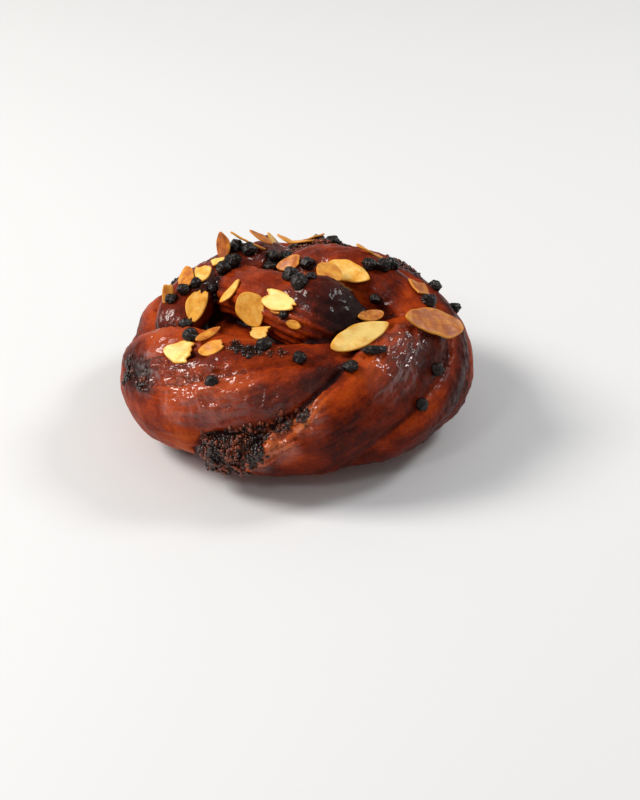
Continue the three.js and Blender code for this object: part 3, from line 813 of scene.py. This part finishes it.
flakeBuild = {
    "thickness": 0.7,
    "along": 24,
    "across": 16,
    "rimWidth": 0.32,
    "jag": 0.07,             # how ragged a broken end is
    "wobble": 0.18,          # unevenness of the outline
    "ripple": 0.35,
    "bedding": 0.9,          # how deep a flake may lie in the crust
    "mostLift": 2.2,
}
standingFlakes = (1, 21, 22, 23, 24, 25, 26, 27)


def nodeFrame(node):
    # middle, long way, broad way, thin way and half sizes of a CAD piece, in metres
    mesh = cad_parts[node].data
    points = np.array([vertex.co for vertex in mesh.vertices])
    weights = np.zeros(len(points))
    for face in mesh.polygons:
        for index in face.vertices:
            weights[index] += face.area
    middle = np.average(points, axis=0, weights=weights)
    spread = np.cov((points - middle).T, aweights=weights)
    values, ways = np.linalg.eigh(spread)
    thin, broad, long = ways[:, 0], ways[:, 1], ways[:, 2]
    away = middle - np.array([0, 0, 0.02])
    if thin @ away < 0:
        thin = -thin
    places = (points - middle) @ long
    widths = np.abs((points - middle) @ broad)
    reach = np.abs(places).max()
    if widths[places > 0.5 * reach].max() > widths[places < -0.5 * reach].max():
        long = -long
    broad = np.cross(thin, long)
    half = [np.ptp((points - middle) @ way) / 2 for way in (long, broad, thin)]
    centre = middle + sum(way * (((points - middle) @ way).max() + ((points - middle) @ way).min()) / 2
                          for way in (long, broad, thin))
    return centre, long, broad, thin, half


def almondHalfWidth(share):
    return np.maximum(np.sin(np.pi * np.clip(share, 0, 1) ** 0.85), 0) ** 0.62


def sliceAlmond(length, width, start, end, curl, seed):
    # one closed slice: top and bottom sheets that meet at a rounded rim, in millimetres
    rows, columns = flakeBuild["along"], flakeBuild["across"]
    ahead = 0.5 - 0.5 * np.cos(np.linspace(0, math.pi, rows + 1))
    aside = np.sin(np.linspace(-math.pi / 2, math.pi / 2, columns + 1))
    shares = start + (end - start) * np.clip(ahead, 0.002, 0.998)
    widest = almondHalfWidth(np.linspace(start, end, 40)).max()
    u, v = np.meshgrid(ahead, aside, indexing="ij")
    half = (almondHalfWidth(shares) / widest * width / 2)[:, None]
    jagStart = 0.0 if start == 0 else flakeBuild["jag"]
    jagEnd = 0.0 if end == 1 else flakeBuild["jag"]
    jag = np.array([noise.noise(Vector((2.3 * side, seed * 3.1, 0))) for side in aside])
    x = (u - 0.5) * length
    x += length * (jagStart * (1 - u) ** 2 - jagEnd * u ** 2) * jag[None, :] * 2
    wobble = np.array([[noise.noise(Vector((0.22 * x[i, j], 0.4 * np.sign(v[i, j]) + seed, seed * 1.7)))
                        for j in range(columns + 1)] for i in range(rows + 1)])
    y = v * half * (1 + flakeBuild["wobble"] * wobble)
    bend = curl * ((2 * x / length) ** 2 - 0.4) * 0.6
    ripple = np.array([[noise.noise(Vector((0.3 * x[i, j], 0.3 * y[i, j], seed * 2.9)))
                        for j in range(columns + 1)] for i in range(rows + 1)])
    rim = np.maximum(np.abs(v), np.abs(2 * u - 1))
    sideGap = (1 - np.abs(v)) * half
    endGap = (0.5 - np.abs(u - 0.5)) * length
    gap = np.minimum(sideGap, endGap) / flakeBuild["rimWidth"]
    body = flakeBuild["thickness"] / 2 * np.sqrt(np.clip(1 - (1 - np.clip(gap, 0, 1)) ** 2, 0, 1))
    middle = bend + flakeBuild["ripple"] * ripple
    top = np.stack([x, y, middle + body], axis=2).reshape(-1, 3)
    bottom = np.stack([x, y, middle - body], axis=2).reshape(-1, 3)
    index = np.arange((rows + 1) * (columns + 1)).reshape(rows + 1, columns + 1)
    border = (rim.reshape(-1) > 0.9999)
    under = np.where(border, index.ravel(), -1).reshape(index.shape)
    inner = np.flatnonzero(~border)
    under.ravel()[inner] = len(top) + np.arange(len(inner))
    faces = []
    for i in range(rows):
        for j in range(columns):
            faces.append((index[i, j], index[i + 1, j], index[i + 1, j + 1], index[i, j + 1]))
            faces.append((under[i, j], under[i, j + 1], under[i + 1, j + 1], under[i + 1, j]))
    points = np.vstack([top, bottom[inner]])
    rimValue = np.concatenate([rim.ravel(), rim.ravel()[inner]])
    faces = [tuple(int(k) for k in face) for face in faces]
    return points, faces, rimValue


def crustSpot(x, y, surface, shift):
    # the crust straight below a place that is given from above, in millimetres of the dome
    over = Vector((x * mm + shift[0], y * mm + shift[1], 0.1))
    return np.array(surface.ray_cast(over, Vector((0, 0, -1)))[0])


def seatDepth(surface, points):
    # how deep the flake's worst place lies under the dough, in metres
    worst = 0.0
    for point in points:
        spot, normal, _, distance = surface.find_nearest(Vector(point))
        if (Vector(point) - spot).dot(normal) < 0:
            worst = max(worst, distance)
    return worst


def makeFlake(number, finish, surface):
    node = f"almond_flake_{number:02d}"
    toast, start, end, curl = flakeLooks[number]
    centre, long, broad, thin, half = nodeFrame(node)
    length, width = 2 * half[0] / mm, 2 * half[1] / mm
    points, faces, rim = sliceAlmond(length, width, start, end, curl, number)
    placed = centre + mm * (points[:, :1] * long + points[:, 1:2] * broad + points[:, 2:] * thin)
    if number not in standingFlakes:
        sunk = seatDepth(surface, placed[::7]) - flakeBuild["bedding"] * mm
        placed += thin * min(max(sunk, 0), flakeBuild["mostLift"] * mm)
    piece = bakeFlake(f"almondFlake{number:02d}", number, placed, faces, rim, points, toast, finish)
    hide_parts(node)


def bakeFlake(name, number, placed, faces, rim, local, toast, finish):
    mesh = meshFrom(name, placed, faces)
    smoothShade(mesh)
    addField(mesh, "rim", rim)
    addField(mesh, "toast", np.full(len(local), toast))
    addField(mesh, "slice", local + np.array([0, 0, number * 20.0]))
    mesh.materials.append(finish)
    piece = addPiece(name, mesh)
    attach(piece, "root")
    return piece


# a broken bit that stands at the left, on the finished bun only: place seen from above
smallFlake = {"x": -40.5, "y": -2.5, "lift": 1.9, "pitch": 58, "length": 5.8, "width": 3.8,
              "start": 0.3, "end": 0.75, "curl": 0.2, "toast": 0.42, "number": 40}


def makeSmallFlake(finish, surface, shift):
    look = smallFlake
    points, faces, rim = sliceAlmond(look["length"], look["width"], look["start"], look["end"],
                                     look["curl"], look["number"])
    spot = crustSpot(look["x"], look["y"], surface, shift)
    tilt = math.radians(look["pitch"])
    long = np.array([0, math.cos(tilt), math.sin(tilt)])
    broad = np.array([1.0, 0, 0])
    thin = np.cross(broad, long)
    placed = spot + mm * (np.array([0, 0, look["lift"]]) + points[:, :1] * long
                          + points[:, 1:2] * broad + points[:, 2:] * thin)
    bakeFlake("smallFlake", look["number"], placed, faces, rim, points, look["toast"], finish)


dropBuild = {
    "lumps": 0.3,
    "grit": 0.1,
    "squash": 0.86,
    "radius": 2.6,           # of a small drop of size 1
    "share": 0.95,           # of half the CAD drop's largest side
    "showing": 0.3,          # how far its middle stands off the crust, in radii
}
# shapes that aren't round: share of the usual length, width and height
oddDrops = {29: (1.5, 0.6, 0.55), 27: (0.9, 0.9, 1.15), 31: (0.85, 0.85, 1.2)}
# small ones that only the finished bun carries: x, y seen from above, size
smallDrops = [(-39.5, -4, 0.75), (-23.5, 35.5, 0.85), (24.5, -22.5, 0.8), (5.5, -15.5, 0.6),
              (12.5, 37.5, 0.8), (7.5, 39.5, 0.8), (-9.5, 44.5, 0.85), (-26.5, 0.5, 0.65)]


def dropMesh(name, number, centre, radius, finish):
    long, wide, tall = oddDrops.get(number, (1, 1, 1))
    shape = bmesh.new()
    bmesh.ops.create_icosphere(shape, subdivisions=4, radius=1)
    for vertex in shape.verts:
        way = vertex.co.copy()
        lump = noise.fractal(way * 1.1 + Vector((number * 3.7, 0, 0)), 0.9, 2.0, 3)
        grit = noise.fractal(way * 4.0 + Vector((0, number * 5.3, 0)), 0.6, 2.2, 3)
        reach = 1 + dropBuild["lumps"] * lump + dropBuild["grit"] * grit
        vertex.co = Vector((way.x * long, way.y * wide, way.z * tall * dropBuild["squash"])) * reach
    mesh = bpy.data.meshes.new(name)
    shape.to_mesh(mesh)
    shape.free()
    setPoints(mesh, meshPoints(mesh) * radius + centre)
    smoothShade(mesh)
    mesh.materials.append(finish)
    piece = addPiece(name, mesh)
    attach(piece, "root")
    return piece


def makeDrop(number, finish):
    node = f"chocolate_drop_{number:02d}"
    low, high = (np.array(corner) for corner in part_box(node))
    radius = (high - low).max() / 2 * dropBuild["share"]
    piece = dropMesh(f"chocolateDrop{number:02d}", number, (low + high) / 2, radius, finish)
    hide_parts(node)


def makeSmallDrop(index, finish, surface, shift):
    x, y, size = smallDrops[index]
    radius = dropBuild["radius"] * size * mm
    centre = crustSpot(x, y, surface, shift) + np.array([0, 0, dropBuild["showing"] * radius])
    dropMesh(f"smallDrop{index + 1:02d}", 50 + index, centre, radius, finish)


# grains of baked filling that stand on the broken-out cocoa
crumbScatter = {"count": 1300, "smallest": 0.3, "largest": 1.0, "stretch": (0.72, 1.2), "uneven": 0.16}


def scatterCrumbs(bunMesh, finish):
    points = meshPoints(bunMesh)
    cocoa = np.empty(len(points), np.float32)
    bunMesh.attributes["cocoa"].data.foreach_get("value", cocoa)
    chance = np.clip(cocoa - 0.12, 0, 1) ** 0.9
    chosen = np.random.default_rng(11).choice(len(points), crumbScatter["count"], False,
                                              chance / chance.sum())
    ball = bmesh.new()
    bmesh.ops.create_icosphere(ball, subdivisions=1, radius=1)
    ballPoints = np.array([vertex.co for vertex in ball.verts])
    ballFaces = [tuple(v.index for v in face.verts) for face in ball.faces]
    ball.free()
    dice = np.random.default_rng(12)
    allPoints = []
    allFaces = []
    for index in chosen:
        share = dice.uniform(0, 1) ** 2
        size = mm * (crumbScatter["smallest"] * (1 - share) + crumbScatter["largest"] * share)
        turned = ballPoints * dice.uniform(*crumbScatter["stretch"], 3)
        uneven = crumbScatter["uneven"]
        turned = turned * (1 + dice.uniform(-uneven, uneven, (len(turned), 1)))
        start = len(allPoints) * len(ballPoints)
        allPoints.append(points[index] + turned * size)
        allFaces += [tuple(i + start for i in face) for face in ballFaces]
    mesh = meshFrom("cocoaCrumbs", np.vstack(allPoints), allFaces)
    smoothShade(mesh)
    mesh.materials.append(finish)
    piece = addPiece("cocoaCrumbs", mesh)
    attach(piece, "root")


def placeBun(finish):
    mesh = shapeBun()
    low, high = (np.array(corner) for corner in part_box("bun"))
    points = meshPoints(mesh)
    middle = (points.min(axis=0) + points.max(axis=0)) / 2
    target = (low + high) / 2
    points = points * mm
    shift = target[:2] - middle[:2] * mm
    points[:, :2] += shift
    setPoints(mesh, points)
    mesh.materials.clear()
    mesh.materials.append(finish)
    piece = addPiece("bunDough", mesh)
    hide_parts("bun")
    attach(piece, "root")
    return piece, shift


studio = {
    # every lamp: place, size, power, colour
    "lamps": {
        "keyLamp": ((-0.80, 0.06, 0.76), 0.42, 11.2, (1.0, 0.96, 0.90)),
        "glintLamp": ((0.62, 0.25, 0.68), 0.22, 3.2, (1, 1, 1)),
        "frontLamp": ((-0.42, -0.60, 0.66), 0.15, 0.9, (1, 1, 1)),
    },
    "skyStrength": 0.34, "skyColour": (1.0, 0.965, 0.93),
    "lampAim": (0, 0, 0.02), "floorSize": 6.0, "floorRoughness": 0.55,
    "floorColour": (0.76, 0.775, 0.795),
}


def areaLamp(name, place, size, power, colour):
    lamp = bpy.data.lights.new(name, "AREA")
    lamp.size = size
    lamp.energy = power
    lamp.color = colour
    holder = bpy.data.objects.new(name, lamp)
    bpy.context.scene.collection.objects.link(holder)
    holder.location = place
    holder.rotation_euler = (Vector(studio["lampAim"]) - Vector(place)).to_track_quat("-Z", "Y").to_euler()


def makeStudio():
    bpy.context.scene.view_settings.view_transform = "Standard"
    world = bpy.data.worlds.new("studioSky")
    bpy.context.scene.world = world
    world.use_nodes = True
    sky = world.node_tree.nodes["Background"]
    sky.inputs["Color"].default_value = (*studio["skyColour"], 1)
    sky.inputs["Strength"].default_value = studio["skyStrength"]
    for name, lamp in studio["lamps"].items():
        areaLamp(name, *lamp)
    half = studio["floorSize"] / 2
    corners = [(-half, -half, 0), (half, -half, 0), (half, half, 0), (-half, half, 0)]
    floor = addPiece("floor", meshFrom("floor", np.array(corners), [(0, 1, 2, 3)]))
    recipe = Recipe("paleFloor")
    recipe.set(Base_Color=(*studio["floorColour"], 1), Roughness=studio["floorRoughness"])
    floor.data.materials.append(recipe.material)


camera = {"lens": 90, "sensor": 36, "distance": 0.667, "elevation": 31.6, "aim": (0.0072, 0.0021, 0.0031)}


def makeCamera():
    lens = bpy.data.cameras.new("camera")
    lens.sensor_width = camera["sensor"]
    lens.lens = camera["lens"]
    lens.clip_start = 0.01
    holder = bpy.data.objects.new("camera", lens)
    bpy.context.scene.collection.objects.link(holder)
    up = math.radians(camera["elevation"])
    back = Vector((0, -math.cos(up), math.sin(up)))
    holder.location = Vector(camera["aim"]) + camera["distance"] * back
    holder.rotation_mode = "QUATERNION"
    holder.rotation_quaternion = (-back).to_track_quat("-Z", "Y")
    bpy.context.scene.camera = holder


crust = makeCrust()
almond = makeAlmond()
chocolate = makeChocolate()
bun, doughShift = placeBun(crust)
doughSurface = BVHTree.FromPolygons([v.co for v in bun.data.vertices],
                                    [list(f.vertices) for f in bun.data.polygons])
print("bun laid")
for number in flakeLooks:
    makeFlake(number, almond, doughSurface)
makeSmallFlake(almond, doughSurface, doughShift)
print("flakes laid")
drops = [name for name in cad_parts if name.startswith("chocolate_drop_")]
for number in range(1, len(drops) + 1):
    makeDrop(number, chocolate)
for index in range(len(smallDrops)):
    makeSmallDrop(index, chocolate, doughSurface, doughShift)
print("drops laid")
scatterCrumbs(bun.data, makeCrumbs())
print("crumbs scattered")
makeStudio()
makeCamera()
